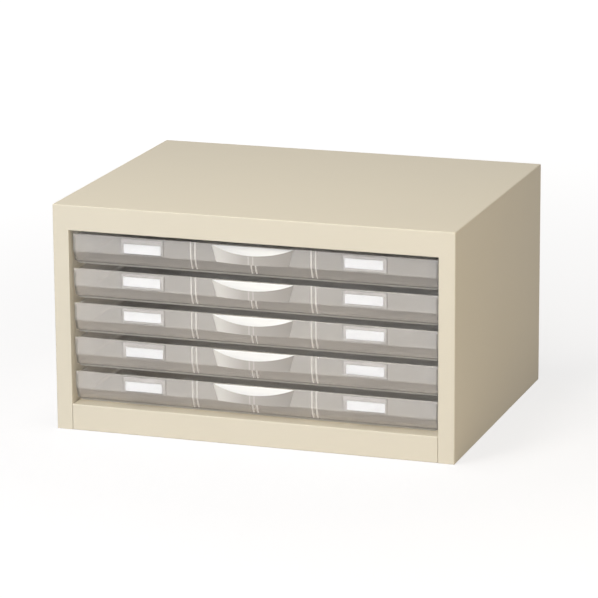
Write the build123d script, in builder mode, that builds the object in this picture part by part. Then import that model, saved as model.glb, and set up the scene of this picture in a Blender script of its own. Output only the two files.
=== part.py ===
from build123d import *
import os

# A desktop case of folded sheet steel that holds five shallow moulded trays for large sheets.
# The origin is under the middle of the case, on the desk. X runs across the front,
# the front faces -Y and Z is up. All sizes are in millimetres.

# Case
case_width = 470.0
case_depth = 362.0
case_height = 262.0
sheet = 1.0
bend_radius = 1.6
stile_width = 19.0
top_rail_height = 29.0
bottom_rail_height = 30.5
return_depth = 12.0
sill_depth = 25.0
sill_lip = 8.0
rear_flange_width = 14.0
floor_flange_height = 12.0
rail_seam = 0.35
panel_play = 0.7

# Drawers in the case
drawer_count = 5
drawer_recess = 6.5
side_play = 2.75
sill_gap = 2.2
head_gap = 5.1
drawer_gap = 4.8
rear_room = 15.5

# Runners
glide_gap = 0.3
ledge_width = 14.0
guide_height = 10.0
runner_bend = 1.5
runner_setback = 26.0
stop_height = 8.0
stop_gap = 0.3
tongue_setback = 27.5
tongue_length = 12.0
tongue_width = 8.0

# Catch lugs under the drawers, which meet the tongues when a drawer is fully out
lug_width = 5.5
lug_length = 6.0
lug_height = 2.4
lug_play = 1.5
catch_gap = 0.5
held_length = 64.5

# Hooks that hang the runners in slots of their panels, an inset from each end of the drawers
hook_width = 12.0
hook_drop = 5.0
hook_play = 0.5
hook_inset = 48.0
slot_room = 1.0

# Moulded tray
wall = 2.0
upper_zone = 20.0
zone_step = 1.2
zone_step_drop = 0.6
lower_recess = 4.2
foot_height = 3.4
foot_setback = 7.0
foot_draft = 0.4
rim_drop = 3.0
corner_radius = 6.0
front_edge_radius = 0.6

# Divider ribs, in pairs that hold a partition between them
rib_offset = 70.5
rib_spacing = 5.2
rib_width = 1.3
rib_depth = 1.6
rib_top = 1.2

# Label pockets and their cards
pocket_offset = 130.25
pocket_width = 52.0
pocket_drop = 1.2
pocket_height = 18.2
pocket_skin = 0.9
pocket_slot = 0.7
pocket_border = 1.0
card_width = 44.0
card_height = 10.4
card_thickness = 0.4
# How far each card has slid sideways and up from the middle of its pocket's floor, top drawer first
cards_left = [(0.4, 0.5), (-0.9, 2.6), (-0.6, 2.4), (0.8, 0.9), (-0.7, 0.6)]
cards_right = [(-0.9, 3.0), (-0.8, 2.6), (0.5, 2.6), (0.5, 2.3), (1.2, 1.2)]

# Finger pull
pull_width = 96.0
pull_foot_width = 85.0
pull_reach = 6.8
pull_foot_reach = 6.0
pull_wall = 1.2
cove_start = 0.5
cove_mid_reach = 3.2
cove_mid_drop = 5.2
cove_drop = 9.6
cove_run_out = 5.0
cove_run_slope = 1.2

# Places worked out from the sizes above
front_y = -case_depth / 2
back_y = case_depth / 2
opening_width = case_width - 2 * stile_width
opening_bottom = bottom_rail_height
opening_top = case_height - top_rail_height
opening_height = opening_top - opening_bottom
drawer_pitch = (opening_height + drawer_gap - sill_gap - head_gap) / drawer_count
tray_height = drawer_pitch - drawer_gap
tray_width = opening_width - 2 * side_play
tray_front_y = front_y + drawer_recess
panel_face_y = back_y - 2 * sheet
tray_back_y = panel_face_y - rear_room
tray_length = tray_back_y - tray_front_y
lug_front_y = tray_back_y - held_length
tongue_back_y = front_y + tongue_setback + tongue_length
pull_out = lug_front_y - tongue_back_y - catch_gap
guide_x = opening_width / 2
ledge_x = guide_x - ledge_width
hook_rows = (front_y + hook_inset, tray_back_y - hook_inset)
SIDES = ("left", "right")


def tray_bottom(number):
    """Height of a drawer's underside, where number 1 is the top drawer."""
    return opening_bottom + sill_gap + (drawer_count - number) * drawer_pitch


def bent_strip(points, bend, plane):
    """Section of a sheet whose outer face follows the points, with a bend at each corner."""
    with BuildSketch(plane) as section:
        with BuildLine():
            face_line = FilletPolyline(*points, radius=bend)
            offset(face_line, amount=sheet, side=Side.LEFT)
        make_face()
    return section.sketch


# The casing is one sheet wrapped over the top and sides, turned in at the front and the back.
with BuildPart() as casing_shell:
    with BuildSketch():
        Rectangle(case_width, case_depth)
    extrude(amount=case_height)
    upright_edges = casing_shell.edges().filter_by(Axis.Z)
    top_edges = casing_shell.faces().sort_by(Axis.Z)[-1].edges()
    fillet(upright_edges + top_edges, radius=bend_radius)
    offset(amount=-sheet, openings=casing_shell.faces().sort_by(Axis.Z)[0])
    with BuildSketch(Plane.XZ.offset(-front_y)):
        with Locations((0, opening_top / 2)):
            Rectangle(opening_width, opening_top)
    extrude(amount=-sheet, mode=Mode.SUBTRACT)
    with BuildSketch(Plane.XZ.offset(-back_y)):
        with Locations((0, (case_height - rear_flange_width) / 2)):
            Rectangle(case_width - 2 * rear_flange_width, case_height - rear_flange_width)
    extrude(amount=sheet, mode=Mode.SUBTRACT)
    with BuildSketch(Plane.XZ.offset(-front_y)):
        with Locations((0, sheet + opening_top / 2)):
            Rectangle(opening_width + 2 * sheet, opening_top)
        with Locations((0, opening_top / 2)):
            Rectangle(opening_width, opening_top, mode=Mode.SUBTRACT)
    extrude(amount=-return_depth)
casing_shell.part.label = "casing_shell"

# The floor is a second sheet. Its front edge is folded up into the bottom rail and back into a sill.
# It butts between the stiles, and its side and rear flanges are welded inside the casing.
rail_points = [
    (front_y + 2 * sill_depth, 0),
    (front_y, 0),
    (front_y, bottom_rail_height),
    (front_y + sill_depth, bottom_rail_height),
    (front_y + sill_depth, bottom_rail_height - sill_lip),
]
floor_half = case_width / 2 - sheet
floor_back_y = back_y - 2 * sheet
floor_points = [
    (-floor_half, floor_flange_height),
    (-floor_half, 0),
    (floor_half, 0),
    (floor_half, floor_flange_height),
]
rear_lip_points = [
    (floor_back_y - 2 * floor_flange_height, 0),
    (floor_back_y, 0),
    (floor_back_y, floor_flange_height),
]
with BuildPart() as floor_panel:
    extrude(
        bent_strip(rail_points, bend_radius, Plane.YZ),
        amount=opening_width / 2 - rail_seam,
        both=True,
    )
    floor_front_y = front_y + sheet + bend_radius / 2
    floor_plane = Plane.XZ.offset(-floor_front_y)
    extrude(
        bent_strip(floor_points, bend_radius, floor_plane),
        amount=-(floor_back_y - bend_radius - floor_front_y),
    )
    extrude(
        bent_strip(rear_lip_points, bend_radius, Plane.YZ),
        amount=floor_half - 2 * bend_radius,
        both=True,
    )
floor_panel.part.label = "floor_panel"

# The back is a flat sheet welded against the rear flanges from inside.
with BuildPart() as back_panel:
    panel_height = case_height - sheet - 2 * panel_play
    with BuildSketch(Plane.XZ.offset(-panel_face_y)):
        with Locations((0, panel_play + panel_height / 2)):
            RectangleRounded(case_width - 2 * sheet - 2 * panel_play, panel_height, bend_radius)
    extrude(amount=-sheet)
back_panel.part.label = "back_panel"


# One upright panel on each side stands behind the stile's return and carries the runners.
# Pieces that come in a left and a right hand are drawn on the right and mirrored for the left.
web_x = guide_x + sheet
web_flange_x = case_width / 2 - 2 * sheet - panel_play
panel_bottom = bend_radius
panel_top = case_height - sheet - panel_play
web_front_y = front_y + sheet
web_back_y = panel_face_y - sheet
slot_height = hook_drop + slot_room


def guide_top(number):
    """Height of the upper edge of a runner's guide."""
    return tray_bottom(number) - glide_gap + guide_height


slot_spots = [
    (y, guide_top(number) - sheet - hook_play + slot_height / 2)
    for number in range(1, drawer_count + 1)
    for y in hook_rows
]

web_points = [
    (web_flange_x, web_back_y),
    (web_x, web_back_y),
    (web_x, web_front_y),
    (web_flange_x, web_front_y),
]
runner_panels = {}
for side in SIDES:
    with BuildPart() as runner_panel:
        web_section = bent_strip(web_points, bend_radius, Plane.XY.offset(panel_bottom))
        extrude(web_section, amount=panel_top - panel_bottom)
        with BuildSketch(Plane.YZ):
            with Locations(*slot_spots):
                Rectangle(hook_width + 2 * hook_play, slot_height)
        extrude(amount=case_width / 2, mode=Mode.SUBTRACT)
        if side == "left":
            mirror(about=Plane.YZ, mode=Mode.REPLACE)
    runner_panel.part.label = "runner_panel_" + side
    runner_panels[side] = runner_panel.part

# Each runner is an angle. Its ledge carries a drawer's edge and its guide stands beside the drawer.
# The ledge turns up at the back as the closing stop and widens near the front into a tongue.
# Two hooks at the top of the guide pass through slots in the panel and hang behind it.
runner_front_y = front_y + runner_setback
stop_y = tray_back_y + stop_gap
stop_width = ledge_width - 2 * runner_bend
hook_x = web_x + sheet + hook_play + sheet
tongue_points = [
    (ledge_x + sheet, tongue_back_y),
    (ledge_x - tongue_width, tongue_back_y),
    (ledge_x - tongue_width, tongue_back_y - tongue_length + tongue_width / 2),
    (ledge_x - tongue_width / 2, tongue_back_y - tongue_length),
    (ledge_x + sheet, tongue_back_y - tongue_length),
]
runners = {}
for side in SIDES:
    for number in range(1, drawer_count + 1):
        ledge_top = tray_bottom(number) - glide_gap
        ledge_bottom = ledge_top - sheet
        angle_points = [
            (ledge_x, ledge_bottom),
            (web_x, ledge_bottom),
            (web_x, guide_top(number) - runner_bend),
        ]
        hook_points = [
            (hook_x, guide_top(number) - hook_drop),
            (hook_x, guide_top(number)),
            (guide_x, guide_top(number)),
            (guide_x, guide_top(number) - hook_drop),
        ]
        stop_points = [
            (stop_y - stop_height, ledge_bottom),
            (stop_y + sheet, ledge_bottom),
            (stop_y + sheet, ledge_top + stop_height),
        ]
        with BuildPart() as runner:
            angle_section = bent_strip(angle_points, runner_bend, Plane.XZ.offset(-runner_front_y))
            extrude(angle_section, amount=-(stop_y - runner_bend - runner_front_y))
            stop_section = bent_strip(stop_points, runner_bend, Plane.YZ.offset(ledge_x))
            extrude(stop_section, amount=stop_width)
            with BuildSketch(Plane.XY.offset(ledge_bottom)):
                Polygon(*tongue_points, align=None)
            extrude(amount=sheet)
            for y in hook_rows:
                hook_plane = Plane.XZ.offset(-y)
                extrude(bent_strip(hook_points, runner_bend, hook_plane), hook_width / 2, both=True)
            if side == "left":
                mirror(about=Plane.YZ, mode=Mode.REPLACE)
        runner.part.label = "runner_%s_%d" % (side, number)
        runners[side, number] = runner.part

# The tray is drawn once with its top edge at Z = 0 and placed five times. Its front is at Y = 0 here.
def front_line(shift, top, floor_z):
    """Points down the tray's front, moved back and up by the shift, from the top to the floor."""
    undercut_z = -tray_height + foot_height + shift
    return [
        (shift, top),
        (shift, -upper_zone),
        (shift + zone_step, -upper_zone - zone_step_drop),
        (shift + lower_recess, undercut_z),
        (shift + foot_setback, undercut_z),
        (shift + foot_setback + foot_draft, floor_z),
    ]


def tray_form(inset):
    """Solid where the tray's side, front and plan outlines meet, drawn smaller by the inset."""
    half_width = tray_width / 2 - inset
    radius = corner_radius - inset
    floor_z = -tray_height + inset
    back = tray_length - inset
    front_points = front_line(inset, inset, floor_z)
    with BuildPart() as form:
        with BuildSketch(Plane.YZ):
            Polygon(*front_points, (back, floor_z), (back, inset), align=None)
        extrude(amount=half_width, both=True)
        with BuildSketch(Plane.XZ):
            with BuildLine():
                FilletPolyline(
                    (-half_width, inset),
                    (-half_width, floor_z),
                    (half_width, floor_z),
                    (half_width, inset),
                    radius=radius,
                )
                Line((half_width, inset), (-half_width, inset))
            make_face()
        extrude(amount=-tray_length, mode=Mode.INTERSECT)
        with BuildSketch(Plane.XY.offset(-tray_height)):
            with BuildLine():
                FilletPolyline(
                    (-half_width, 0),
                    (-half_width, back),
                    (half_width, back),
                    (half_width, 0),
                    radius=radius,
                )
                Line((half_width, 0), (-half_width, 0))
            make_face()
        extrude(amount=tray_height + inset, mode=Mode.INTERSECT)
    return form.part


def pull_form(inset):
    """Bulge of the finger pull, wider at its top and cut away above by the cove."""
    with BuildPart() as form:
        for height, width, reach in (
            (-upper_zone, pull_foot_width, pull_foot_reach),
            (0, pull_width, pull_reach),
        ):
            half_width = width / 2 - inset
            with BuildSketch(Plane.XY.offset(height)):
                with BuildLine():
                    ThreePointArc((-half_width, 0), (0, -(reach - inset)), (half_width, 0))
                    Line((half_width, 0), (-half_width, 0))
                make_face()
        loft(ruled=True)
        with BuildSketch(Plane.YZ):
            with BuildLine():
                cove_top = (0, -cove_start - inset)
                cove_mid = (-cove_mid_reach, -cove_mid_drop - inset)
                cove_rim = (-pull_reach, -cove_drop - inset)
                run_out_y = -pull_reach - cove_run_out
                run_out_z = -cove_drop - inset - cove_run_out * cove_run_slope
                ThreePointArc(cove_top, cove_mid, cove_rim)
                Polyline(cove_rim, (run_out_y, run_out_z), (run_out_y, 1), (0, 1), cove_top)
            make_face()
        extrude(amount=pull_width, both=True, mode=Mode.SUBTRACT)
    return form.part


def rib_positions():
    """Places across the tray of the divider ribs, in pairs."""
    return [
        pair + half
        for pair in (-rib_offset, 0, rib_offset)
        for half in (-rib_spacing / 2, rib_spacing / 2)
    ]


with BuildPart() as tray:
    add(tray_form(0))
    front_top_edge = tray.faces().sort_by(Axis.Y)[0].edges().sort_by(Axis.Z)[-1]
    fillet(front_top_edge, radius=front_edge_radius)
    add(tray_form(wall), mode=Mode.SUBTRACT)
    with BuildSketch():
        with Locations((0, wall + tray_length / 2)):
            Rectangle(tray_width, tray_length)
    extrude(amount=-rim_drop, mode=Mode.SUBTRACT)

    root = wall / 2
    root_z = -tray_height + root
    front_rib = front_line(root, -rib_top, root_z)
    front_rib += reversed(front_line(wall + rib_depth, -rib_top, root_z))
    rear_rib = [
        (tray_length - root, -rim_drop - rib_top),
        (tray_length - wall - rib_depth, -rim_drop - rib_top),
        (tray_length - wall - rib_depth, root_z),
        (tray_length - root, root_z),
    ]
    for x in rib_positions():
        with BuildSketch(Plane.YZ.offset(x)):
            Polygon(*front_rib, align=None)
            Polygon(*rear_rib, align=None)
        extrude(amount=rib_width / 2, both=True)

    add(pull_form(0))
    add(pull_form(pull_wall), mode=Mode.SUBTRACT)

    pocket_z = -pocket_drop - pocket_height / 2
    slot_width = pocket_width - 2 * pocket_border
    for x in (-pocket_offset, pocket_offset):
        with BuildSketch(Plane.XZ):
            with Locations((x, pocket_z)):
                Rectangle(pocket_width, pocket_height)
        extrude(amount=pocket_slot + pocket_skin)
        with BuildSketch(Plane.XZ):
            with Locations((x, pocket_z + pocket_border)):
                Rectangle(slot_width, pocket_height)
        extrude(amount=pocket_slot, mode=Mode.SUBTRACT)

    lug_x = ledge_x - lug_play - lug_width / 2
    lug_y = tray_length - held_length
    lug_ramp = [
        (lug_y, root_z),
        (lug_y, -tray_height - lug_height),
        (lug_y + lug_length / 3, -tray_height - lug_height),
        (lug_y + lug_length, -tray_height),
        (lug_y + lug_length, root_z),
    ]
    for x in (-lug_x, lug_x):
        with BuildSketch(Plane.YZ.offset(x)):
            Polygon(*lug_ramp, align=None)
        extrude(amount=lug_width / 2, both=True)

trays = []
for number in range(1, drawer_count + 1):
    with BuildPart() as placed_tray:
        with Locations((0, tray_front_y, tray_bottom(number) + tray_height)):
            add(tray.part)
    placed_tray.part.label = "tray_%d" % number
    trays.append(placed_tray.part)

# A plain card stands in each label pocket, gripped between the pocket's skin and the tray's front.
cards = []
slot_floor = -pocket_drop - pocket_height + pocket_border
for side, offset_x, slides in (
    ("left", -pocket_offset, cards_left),
    ("right", pocket_offset, cards_right),
):
    for number in range(1, drawer_count + 1):
        slide_x, slide_z = slides[number - 1]
        card_x = offset_x + slide_x
        card_y = tray_front_y - pocket_slot / 2
        card_z = tray_bottom(number) + tray_height + slot_floor + slide_z + card_height / 2
        with BuildPart() as card:
            with BuildSketch(Plane.XZ.offset(-card_y)):
                with Locations((card_x, card_z)):
                    Rectangle(card_width, card_height)
            extrude(amount=card_thickness / 2, both=True)
        card.part.label = "label_card_%s_%d" % (side, number)
        cards.append(card.part)

os.makedirs("parts", exist_ok=True)
case_pieces = [casing_shell.part, floor_panel.part, back_panel.part]
case_pieces += [*runner_panels.values(), *runners.values()]
for piece in case_pieces + trays + cards:
    export_step(piece, "parts/%s.step" % piece.label)
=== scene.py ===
import math

import bmesh
import bpy
from mathutils import Matrix, Vector


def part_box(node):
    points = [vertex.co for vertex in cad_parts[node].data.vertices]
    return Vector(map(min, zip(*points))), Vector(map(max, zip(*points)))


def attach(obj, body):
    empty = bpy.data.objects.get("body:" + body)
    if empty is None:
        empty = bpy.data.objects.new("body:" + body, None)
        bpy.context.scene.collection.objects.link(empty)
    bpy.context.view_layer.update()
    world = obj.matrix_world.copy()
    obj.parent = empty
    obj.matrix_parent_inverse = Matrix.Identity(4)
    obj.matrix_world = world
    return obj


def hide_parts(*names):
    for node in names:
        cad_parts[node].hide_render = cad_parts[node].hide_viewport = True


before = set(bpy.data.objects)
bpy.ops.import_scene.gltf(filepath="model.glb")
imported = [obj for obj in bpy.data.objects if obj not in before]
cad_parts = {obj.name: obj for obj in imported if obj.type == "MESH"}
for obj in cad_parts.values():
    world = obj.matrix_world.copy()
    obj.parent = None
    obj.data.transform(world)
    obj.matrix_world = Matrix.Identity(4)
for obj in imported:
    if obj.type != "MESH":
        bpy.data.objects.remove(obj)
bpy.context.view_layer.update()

# Lengths are in metres. X runs across the front, which faces -Y. The desk is at Z = 0.
CASE_CENTRE = Vector((0, 0, 0.131))

# Width by which sharp edges are rounded, unless an edge is shorter than a few widths
SHEET_ROUNDING = 0.0005
PLASTIC_ROUNDING = 0.0003
WIDTHS_IN_SHORTEST_EDGE = 4

# Faces that meet at more than the first angle are rounded there. Below the second angle
# the shading runs on from one to the other.
SHARP_ANGLE = math.radians(50)
SMOOTH_ANGLE = math.radians(32)
WELD_DISTANCE = 1e-6

# Where the trays' fronts stand in the closed case
TRAY_FRONT_Y = -0.1745

# Places on a tray, from the middle of its front's top edge: X across, Y back and Z up
PROUD_Y = -0.0001
FRONT_BACK_Y = 0.0118
FRONT_STEP_Z = -0.0203
FOOT_BACK_Y = 0.0125
FOOT_TOP_Z = -0.0318
# Lowest point of the painted shade in the crease below the front
PAINTED_SHADE_BOTTOM_Z = -0.0334
FLOOR_TOP_Z = -0.030
PULL_HALF_WIDTH = 0.0482
RIB_PAIRS_X = (-0.0705, 0, 0.0705)
RIB_SPACING = 0.0052
RIB_HALF_WIDTH = 0.0008
RIB_FRONT_Y = 0.0016
RIB_BACK_Y = 0.0140
RIB_BOTTOM_Z = -0.0345

# How much of a face's normal lies along an axis, for the face to count as one of these
UPRIGHT = 0.5
SLOPING = 0.3
LEVEL = 0.9

# Plastic of the trays. What is behind it takes on the colour of its body.
PLASTIC_IOR = 1.5
PLASTIC_BODY = (0.915, 0.90, 0.885)

# Camera, fitted to the corners of the case in the photograph. Angles are in degrees.
CAMERA_AZIMUTH = 18.675
CAMERA_ELEVATION = 14.580
CAMERA_ROLL = -0.369
CAMERA_DISTANCE = 4.027
CAMERA_AIM = Vector((-0.0039, -0.0028, 0.1254))
CAMERA_LENS_MM = 209.7
CAMERA_SENSOR_MM = 36.0

# Studio floor: half its side, and from where to where it turns fully white
FLOOR_REACH = 12.0
FADE_START = 0.4
FADE_END = 2.0


class Shade:
    """A shader socket in Python arithmetic. Each step adds a Math node."""

    def __init__(self, finish, socket):
        self.finish = finish
        self.socket = socket

    def __add__(self, other):
        return self.finish.math("ADD", self, other)

    def __sub__(self, other):
        return self.finish.math("SUBTRACT", self, other)

    def __rsub__(self, other):
        return self.finish.math("SUBTRACT", other, self)

    def __mul__(self, other):
        return self.finish.math("MULTIPLY", self, other)

    def __truediv__(self, other):
        return self.finish.math("DIVIDE", self, other)

    def __rtruediv__(self, other):
        return self.finish.math("DIVIDE", other, self)

    def __gt__(self, other):
        return self.finish.math("GREATER_THAN", self, other)

    def __lt__(self, other):
        return self.finish.math("LESS_THAN", self, other)

    def __abs__(self):
        return self.finish.math("ABSOLUTE", self)

    __radd__ = __add__
    __rmul__ = __mul__


class Finish:
    """The nodes of a material or of the world."""

    # A Mix node's sockets when it mixes colours: factor, first and second, and the result
    MIX_INPUTS = (0, 6, 7)
    MIX_RESULT = 2

    def __init__(self, owner):
        self.owner = owner
        owner.use_nodes = True
        self.tree = owner.node_tree
        self.tree.nodes.clear()

    def add(self, kind, settings=None, inputs=None, output=0):
        """Adds a node: its settings first, then the values or links of its sockets."""
        node = self.tree.nodes.new(kind)
        for name, value in (settings or {}).items():
            if name == "stops":
                self.set_stops(node.color_ramp, value)
            else:
                setattr(node, name, value)
        for name, value in (inputs or {}).items():
            if isinstance(value, Shade):
                self.tree.links.new(value.socket, node.inputs[name])
            else:
                node.inputs[name].default_value = value
        return Shade(self, node.outputs[output]) if node.outputs else None

    def set_stops(self, ramp, stops):
        """Gives a colour ramp its stops, each a position and a grey, from 0 to 1."""
        for position, _ in stops[1:-1]:
            ramp.elements.new(position)
        for element, (position, grey) in zip(ramp.elements, stops):
            element.position = position
            element.color = colour(grey, grey, grey)

    def math(self, operation, *values):
        inputs = dict(enumerate(values))
        return self.add("ShaderNodeMath", {"operation": operation}, inputs)

    def mix_colour(self, factor, first, second):
        inputs = dict(zip(self.MIX_INPUTS, (factor, first, second)))
        return self.add("ShaderNodeMix", {"data_type": "RGBA"}, inputs, self.MIX_RESULT)

    def mix_shaders(self, factor, first, second):
        return self.add("ShaderNodeMixShader", inputs={0: factor, 1: first, 2: second})

    def place(self):
        """Position on the piece, which moves with the piece."""
        return self.add("ShaderNodeTexCoord", output="Object")

    def along(self, axis):
        """The part of the position along X, Y or Z."""
        return self.add("ShaderNodeSeparateXYZ", inputs={0: self.place()}, output=axis)

    def noise(self, scale, detail, roughness=0.5):
        return self.add("ShaderNodeTexNoise", inputs={
            "Vector": self.place(),
            "Scale": scale,
            "Detail": detail,
            "Roughness": roughness,
        })

    def mottle(self, cloud, tint, spread):
        """The tint, a little darker and lighter as the noise goes."""
        darker, lighter = scaled(tint, 1 - spread), scaled(tint, 1 + spread)
        return self.mix_colour(cloud, darker, lighter)

    def bump(self, height, depth, strength=1.0):
        return self.add("ShaderNodeBump", inputs={
            "Height": height,
            "Distance": depth,
            "Strength": strength,
        })

    def ray_is(self, kind):
        """1 for rays of this kind, such as Camera, and 0 for others."""
        return self.add("ShaderNodeLightPath", output="Is %s Ray" % kind)

    def seen_directly(self):
        """1 for rays from the camera, also off gloss or through plastic."""
        kinds = ("Camera", "Glossy", "Transmission")
        return sum(self.ray_is(kind) for kind in kinds) > 0

    def done(self, surface):
        """Ends a material with its surface."""
        self.add("ShaderNodeOutputMaterial", inputs={"Surface": surface})
        return self.owner


def colour(red, green, blue):
    """A colour as a socket takes it."""
    return (red, green, blue, 1)


def scaled(tint, factor):
    """The same colour, lighter or darker."""
    return colour(*[part * factor for part in tint])


def enamel():
    """Cream stoving enamel on sheet steel, with a faint orange peel."""
    paint = Finish(bpy.data.materials.new("cream_enamel"))
    cloud = paint.noise(scale=9.0, detail=3.0)
    peel = paint.noise(scale=700.0, detail=2.0)
    dark_cream = colour(0.712, 0.665, 0.583)
    light_cream = colour(0.742, 0.695, 0.613)
    surface = paint.add("ShaderNodeBsdfPrincipled", inputs={
        "Base Color": paint.mix_colour(cloud, dark_cream, light_cream),
        "Roughness": 0.46 + cloud * 0.08,
        "Specular IOR Level": 0.35,
        "Normal": paint.bump(peel, depth=0.00002, strength=0.6),
    })
    return paint.done(surface)


def plastic(name, milk, tint, body=PLASTIC_BODY, grain=0.0):
    """Clear grey moulded plastic. Lamps shine through it.

    body is the colour that it gives to what is behind it. milk is the share of it that
    is cloudy, and tint is that share's colour, or a function that makes the nodes of the
    colour. grain is the depth of its fine texture.
    """
    finish = Finish(bpy.data.materials.new(name))
    haze = finish.noise(scale=60.0, detail=3.0)
    common = {"IOR": PLASTIC_IOR}
    if grain:
        pits = finish.noise(scale=700.0, detail=1.0)
        common["Normal"] = finish.bump(pits, depth=grain)
    clear = finish.add("ShaderNodeBsdfPrincipled", inputs={
        "Base Color": finish.mottle(haze, body, spread=0.015),
        "Roughness": 0.04 + haze * 0.02,
        "Transmission Weight": 1.0,
        **common,
    })
    if callable(tint):
        milky = tint(finish)
    else:
        swirl = finish.noise(scale=24.0, detail=4.0, roughness=0.6)
        milky = finish.mottle(swirl, tint, spread=0.06)
    cloudy = finish.add("ShaderNodeBsdfPrincipled", inputs={
        "Base Color": milky,
        "Roughness": 0.12 + haze * 0.05,
        **common,
    })
    moulded = finish.mix_shaders(milk, clear, cloudy)
    see_through = finish.add("ShaderNodeBsdfTransparent", inputs={
        "Color": colour(0.92, 0.91, 0.90),
    })
    surface = finish.mix_shaders(finish.ray_is("Shadow"), moulded, see_through)
    return finish.done(surface)


def pull_tint_painted_light(finish):
    """Painted light and shade: white at the left end, where the light falls, grey at the
    right, with two faint ribs behind the middle.
    """
    x = finish.along("X")
    across = x / (2 * PULL_HALF_WIDTH) + 0.5
    # Painted light: the stops run from lit white at the left end to shaded grey at the
    # right
    stops = [(0.0, 1.0), (0.12, 0.85), (0.4, 0.28), (1.0, 0.0)]
    painted_light_share = finish.add("ShaderNodeValToRGB", {"stops": stops}, {"Fac": across})
    grey = colour(0.44, 0.415, 0.405)
    white = colour(0.95, 0.93, 0.925)
    rib_white = colour(0.95, 0.93, 0.92)
    skirt = finish.mix_colour(painted_light_share, grey, white)
    on_rib = abs(abs(x) - RIB_SPACING / 2) < RIB_HALF_WIDTH
    rib_share = on_rib * 0.35
    return finish.mix_colour(rib_share, skirt, rib_white)


def foot_tint_painted_shade(finish):
    """Grey, with painted shade: darker in the crease below the front."""
    # Painted shade: the crease below the front is made dark grey
    in_painted_crease_shade = finish.along("Z") > PAINTED_SHADE_BOTTOM_Z
    grey, crease_shade_grey = colour(0.36, 0.34, 0.32), colour(0.13, 0.12, 0.11)
    return finish.mix_colour(in_painted_crease_shade, grey, crease_shade_grey)


def card_paper():
    """Plain white card with a faint fibre."""
    paper = Finish(bpy.data.materials.new("white_card"))
    fibre = paper.noise(scale=1500.0, detail=4.0)
    dark_white, light_white = colour(0.54, 0.54, 0.555), colour(0.565, 0.565, 0.58)
    surface = paper.add("ShaderNodeBsdfPrincipled", inputs={
        "Base Color": paper.mix_colour(fibre, dark_white, light_white),
        "Roughness": 0.8,
        "Normal": paper.bump(fibre, depth=0.00001, strength=0.5),
    })
    return paper.done(surface)


def floor_white():
    """White floor that keeps a soft shadow and runs into the white background."""
    floor = Finish(bpy.data.materials.new("studio_floor"))
    warm, cool = colour(0.76, 0.70, 0.60), colour(0.29, 0.295, 0.335)
    for_bounces = floor.add("ShaderNodeBsdfDiffuse", inputs={"Color": warm})
    shadowed = floor.add("ShaderNodeBsdfDiffuse", inputs={"Color": cool})
    distance = floor.add(
        "ShaderNodeVectorMath", {"operation": "LENGTH"}, {0: floor.place()}, "Value"
    )
    outward = floor.add("ShaderNodeMapRange", inputs={
        "Value": distance,
        "From Min": FADE_START,
        "From Max": FADE_END,
    })
    light = floor.mix_colour(outward, colour(0.74, 0.74, 0.74), colour(1, 1, 1))
    glow = floor.add("ShaderNodeEmission", inputs={"Color": light, "Strength": 1.0})
    lifted = floor.add("ShaderNodeAddShader", inputs={0: shadowed, 1: glow})
    surface = floor.mix_shaders(floor.seen_directly(), for_bounces, lifted)
    return floor.done(surface)


def add_object(name, data):
    """Links a new object to the scene."""
    thing = bpy.data.objects.new(name, data)
    bpy.context.scene.collection.objects.link(thing)
    return thing


def make_floor():
    mesh = bpy.data.meshes.new("studio_floor")
    square = ((-1, -1), (1, -1), (1, 1), (-1, 1))
    corners = [(x * FLOOR_REACH, y * FLOOR_REACH, 0) for x, y in square]
    mesh.from_pydata(corners, [], [range(len(corners))])
    mesh.materials.append(floor_white())
    floor = add_object("studio_floor", mesh)


def make_world():
    bpy.context.scene.world = bpy.data.worlds.new("studio")
    world = Finish(bpy.context.scene.world)
    soft = world.add("ShaderNodeBackground", inputs={
        "Color": colour(1, 0.92, 0.75),
        "Strength": 0.19,
    })
    white = world.add("ShaderNodeBackground", inputs={
        "Color": colour(1, 1, 1),
        "Strength": 1.0,
    })
    surface = world.mix_shaders(world.seen_directly(), soft, white)
    world.add("ShaderNodeOutputWorld", inputs={"Surface": surface})


def towards(azimuth, elevation):
    """Direction from the case, in degrees. Azimuth 0 is in front, 90 to the right."""
    around, above = math.radians(azimuth), math.radians(elevation)
    return Vector((
        math.sin(around) * math.cos(above),
        -math.cos(around) * math.cos(above),
        math.sin(above),
    ))


def make_lamp(name, azimuth, elevation, distance, size, watts, tint):
    """Softbox that is turned to the middle of the case."""
    direction = towards(azimuth, elevation)
    lamp = bpy.data.lights.new(name, "AREA")
    lamp.shape = "RECTANGLE"
    lamp.size, lamp.size_y = size
    lamp.energy = watts
    lamp.color = tint
    holder = add_object(name, lamp)
    holder.location = CASE_CENTRE + direction * distance
    holder.rotation_euler = (-direction).to_track_quat("-Z", "Y").to_euler()


def make_lamps():
    strips = ((40, 2.8), (60, 4.4), (80, 6.8))
    for number, (elevation, watts) in enumerate(strips):
        make_lamp(
            "overhead_strip_%d" % number, azimuth=-CAMERA_AZIMUTH, elevation=elevation,
            distance=1.6, size=(0.34, 0.56), watts=watts, tint=(1, 0.95, 0.81),
        )
    make_lamp(
        "key_softbox", azimuth=-52, elevation=8,
        distance=2.2, size=(1.2, 1.2), watts=7.5, tint=(0.84, 0.92, 1),
    )
    make_lamp(
        "front_fill", azimuth=9, elevation=6,
        distance=4.6, size=(1.4, 0.5), watts=78, tint=(0.88, 0.94, 1),
    )
    make_lamp(
        "side_fill", azimuth=58, elevation=20,
        distance=1.2, size=(0.4, 0.4), watts=1.8, tint=(1, 0.82, 0.50),
    )
    make_lamp(
        "rear_fill", azimuth=-132, elevation=5,
        distance=2.5, size=(0.8, 0.8), watts=13, tint=(1, 0.96, 0.90),
    )


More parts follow.
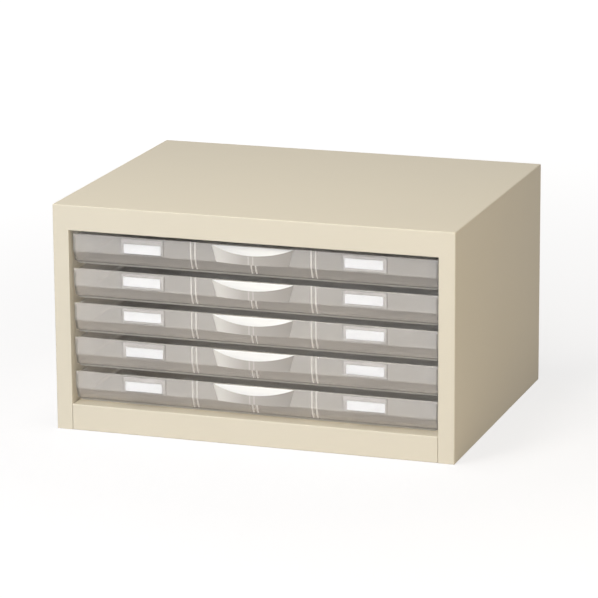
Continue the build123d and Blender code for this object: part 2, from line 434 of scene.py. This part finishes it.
def make_camera():
    camera = add_object("camera", bpy.data.cameras.new("camera"))
    camera.data.lens = CAMERA_LENS_MM
    camera.data.sensor_width = CAMERA_SENSOR_MM
    back = towards(CAMERA_AZIMUTH, CAMERA_ELEVATION)
    position = Matrix.Translation(CAMERA_AIM + back * CAMERA_DISTANCE)
    turn = (-back).to_track_quat("-Z", "Y").to_matrix().to_4x4()
    roll = Matrix.Rotation(math.radians(CAMERA_ROLL), 4, "Z")
    camera.matrix_world = position @ turn @ roll
    bpy.context.scene.camera = camera


def round_edges(mesh, width):
    """Bevels a mesh's sharp edges and shades it smooth, except at edges still sharp."""
    work = bmesh.new()
    work.from_mesh(mesh)
    bmesh.ops.remove_doubles(work, verts=work.verts, dist=WELD_DISTANCE)
    sharp = [
        edge for edge in work.edges
        if edge.calc_face_angle(0) > SHARP_ANGLE
        and edge.calc_length() > WIDTHS_IN_SHORTEST_EDGE * width
    ]
    bmesh.ops.bevel(
        work, geom=sharp, offset=width, offset_type="OFFSET", segments=2, profile=0.5,
        affect="EDGES", clamp_overlap=False, loop_slide=True,
    )
    for face in work.faces:
        face.smooth = True
    for edge in work.edges:
        edge.smooth = edge.calc_face_angle(0) < SMOOTH_ANGLE
    work.to_mesh(mesh)
    work.free()


def stand_in(node, width, body, finishes, origin=Vector(), finish_of=None):
    """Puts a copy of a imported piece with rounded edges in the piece's place.

    finish_of names the finish of a face. Without it the first finish is all over.
    """
    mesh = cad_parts[node].data.copy()
    mesh.transform(Matrix.Translation(-origin))
    mesh.materials.clear()
    for finish in finishes:
        mesh.materials.append(finish)
    round_edges(mesh, width)
    for face in mesh.polygons:
        face.material_index = mesh.materials.find(finish_of(face)) if finish_of else 0
    piece = add_object(node + "_soft", mesh)
    piece.location = origin
    piece.modifiers.new("normals", "WEIGHTED_NORMAL").keep_sharp = True
    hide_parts(node)
    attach(piece, body)


def tray_finish(face):
    """Which plastic a face of a tray gets."""
    place, normal = face.center, face.normal
    upright = abs(normal.y) > UPRIGHT
    if place.y < PROUD_Y:
        if abs(place.x) > PULL_HALF_WIDTH:
            # The pocket's rim faces get the plastic with painted shade
            return "tray_pocket" if upright else "tray_pocket_edge"
        return "tray_cove" if normal.z > SLOPING else "tray_pull"
    on_rib = any(
        abs(abs(place.x - pair_x) - RIB_SPACING / 2) < RIB_HALF_WIDTH
        for pair_x in RIB_PAIRS_X
    )
    if on_rib and RIB_FRONT_Y < place.y < RIB_BACK_Y and place.z > RIB_BOTTOM_Z:
        return "tray_ribs"
    if normal.y < -SLOPING and place.y < FOOT_BACK_Y and place.z < FOOT_TOP_Z:
        return "tray_foot"
    if upright and place.y < FRONT_BACK_Y:
        # Above the step the front's own plastic, below it the darker copy with painted
        # shade
        return "tray_front_upper" if place.z > FRONT_STEP_Z else "tray_front_lower"
    if abs(normal.z) > LEVEL and place.z < FLOOR_TOP_Z:
        return "tray_floor"
    return "tray_clear"


def paint_node(name, material):
    """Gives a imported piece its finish."""
    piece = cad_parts[name]
    piece.data.materials.clear()
    piece.data.materials.append(material)


make_camera()
make_world()
make_floor()
make_lamps()

cream = enamel()
card = card_paper()
tray_plastics = [
    plastic(
        "tray_clear", milk=0.28, tint=(0.78, 0.76, 0.735), body=(0.87, 0.855, 0.84)
    ),
    plastic(
        "tray_floor", milk=0.36, tint=(0.70, 0.68, 0.655), body=(0.86, 0.845, 0.827),
        grain=0.0006,
    ),
    plastic("tray_front_upper", milk=0.30, tint=(0.73, 0.70, 0.69)),
    # Painted shade: the lower part of the front gets a darker copy of the front's plastic
    plastic(
        "tray_front_lower", milk=0.22, tint=(0.50, 0.47, 0.445), body=(0.86, 0.82, 0.79)
    ),
    # The foot's plastic carries painted shade in its crease
    plastic("tray_foot", milk=0.8, tint=foot_tint_painted_shade),
    plastic("tray_ribs", milk=0.9, tint=(0.80, 0.775, 0.755)),
    # The pull's plastic carries painted light: white at the left end, grey at the right
    plastic("tray_pull", milk=0.45, tint=pull_tint_painted_light, body=(0.70, 0.685, 0.67)),
    plastic("tray_cove", milk=0.9, tint=(0.79, 0.805, 0.86)),
    plastic("tray_pocket", milk=0.03, tint=(0.75, 0.72, 0.69)),
    # Painted shade: the pocket's rim faces get a darker plastic
    plastic("tray_pocket_edge", milk=0.4, tint=(0.50, 0.48, 0.46)),
]
for node in list(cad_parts):
    if node.startswith("tray"):
        body = "drawer_" + node[-1]
        origin = Vector((0, TRAY_FRONT_Y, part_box(node)[1].z))
        stand_in(
            node, PLASTIC_ROUNDING, body, tray_plastics,
            origin=origin, finish_of=tray_finish,
        )
    elif node.startswith("label_card"):
        paint_node(node, card)
    elif node in ("casing_shell", "floor_panel"):
        stand_in(node, SHEET_ROUNDING, "case", [cream])
    else:
        paint_node(node, cream)

bpy.context.scene.view_settings.view_transform = "Standard"
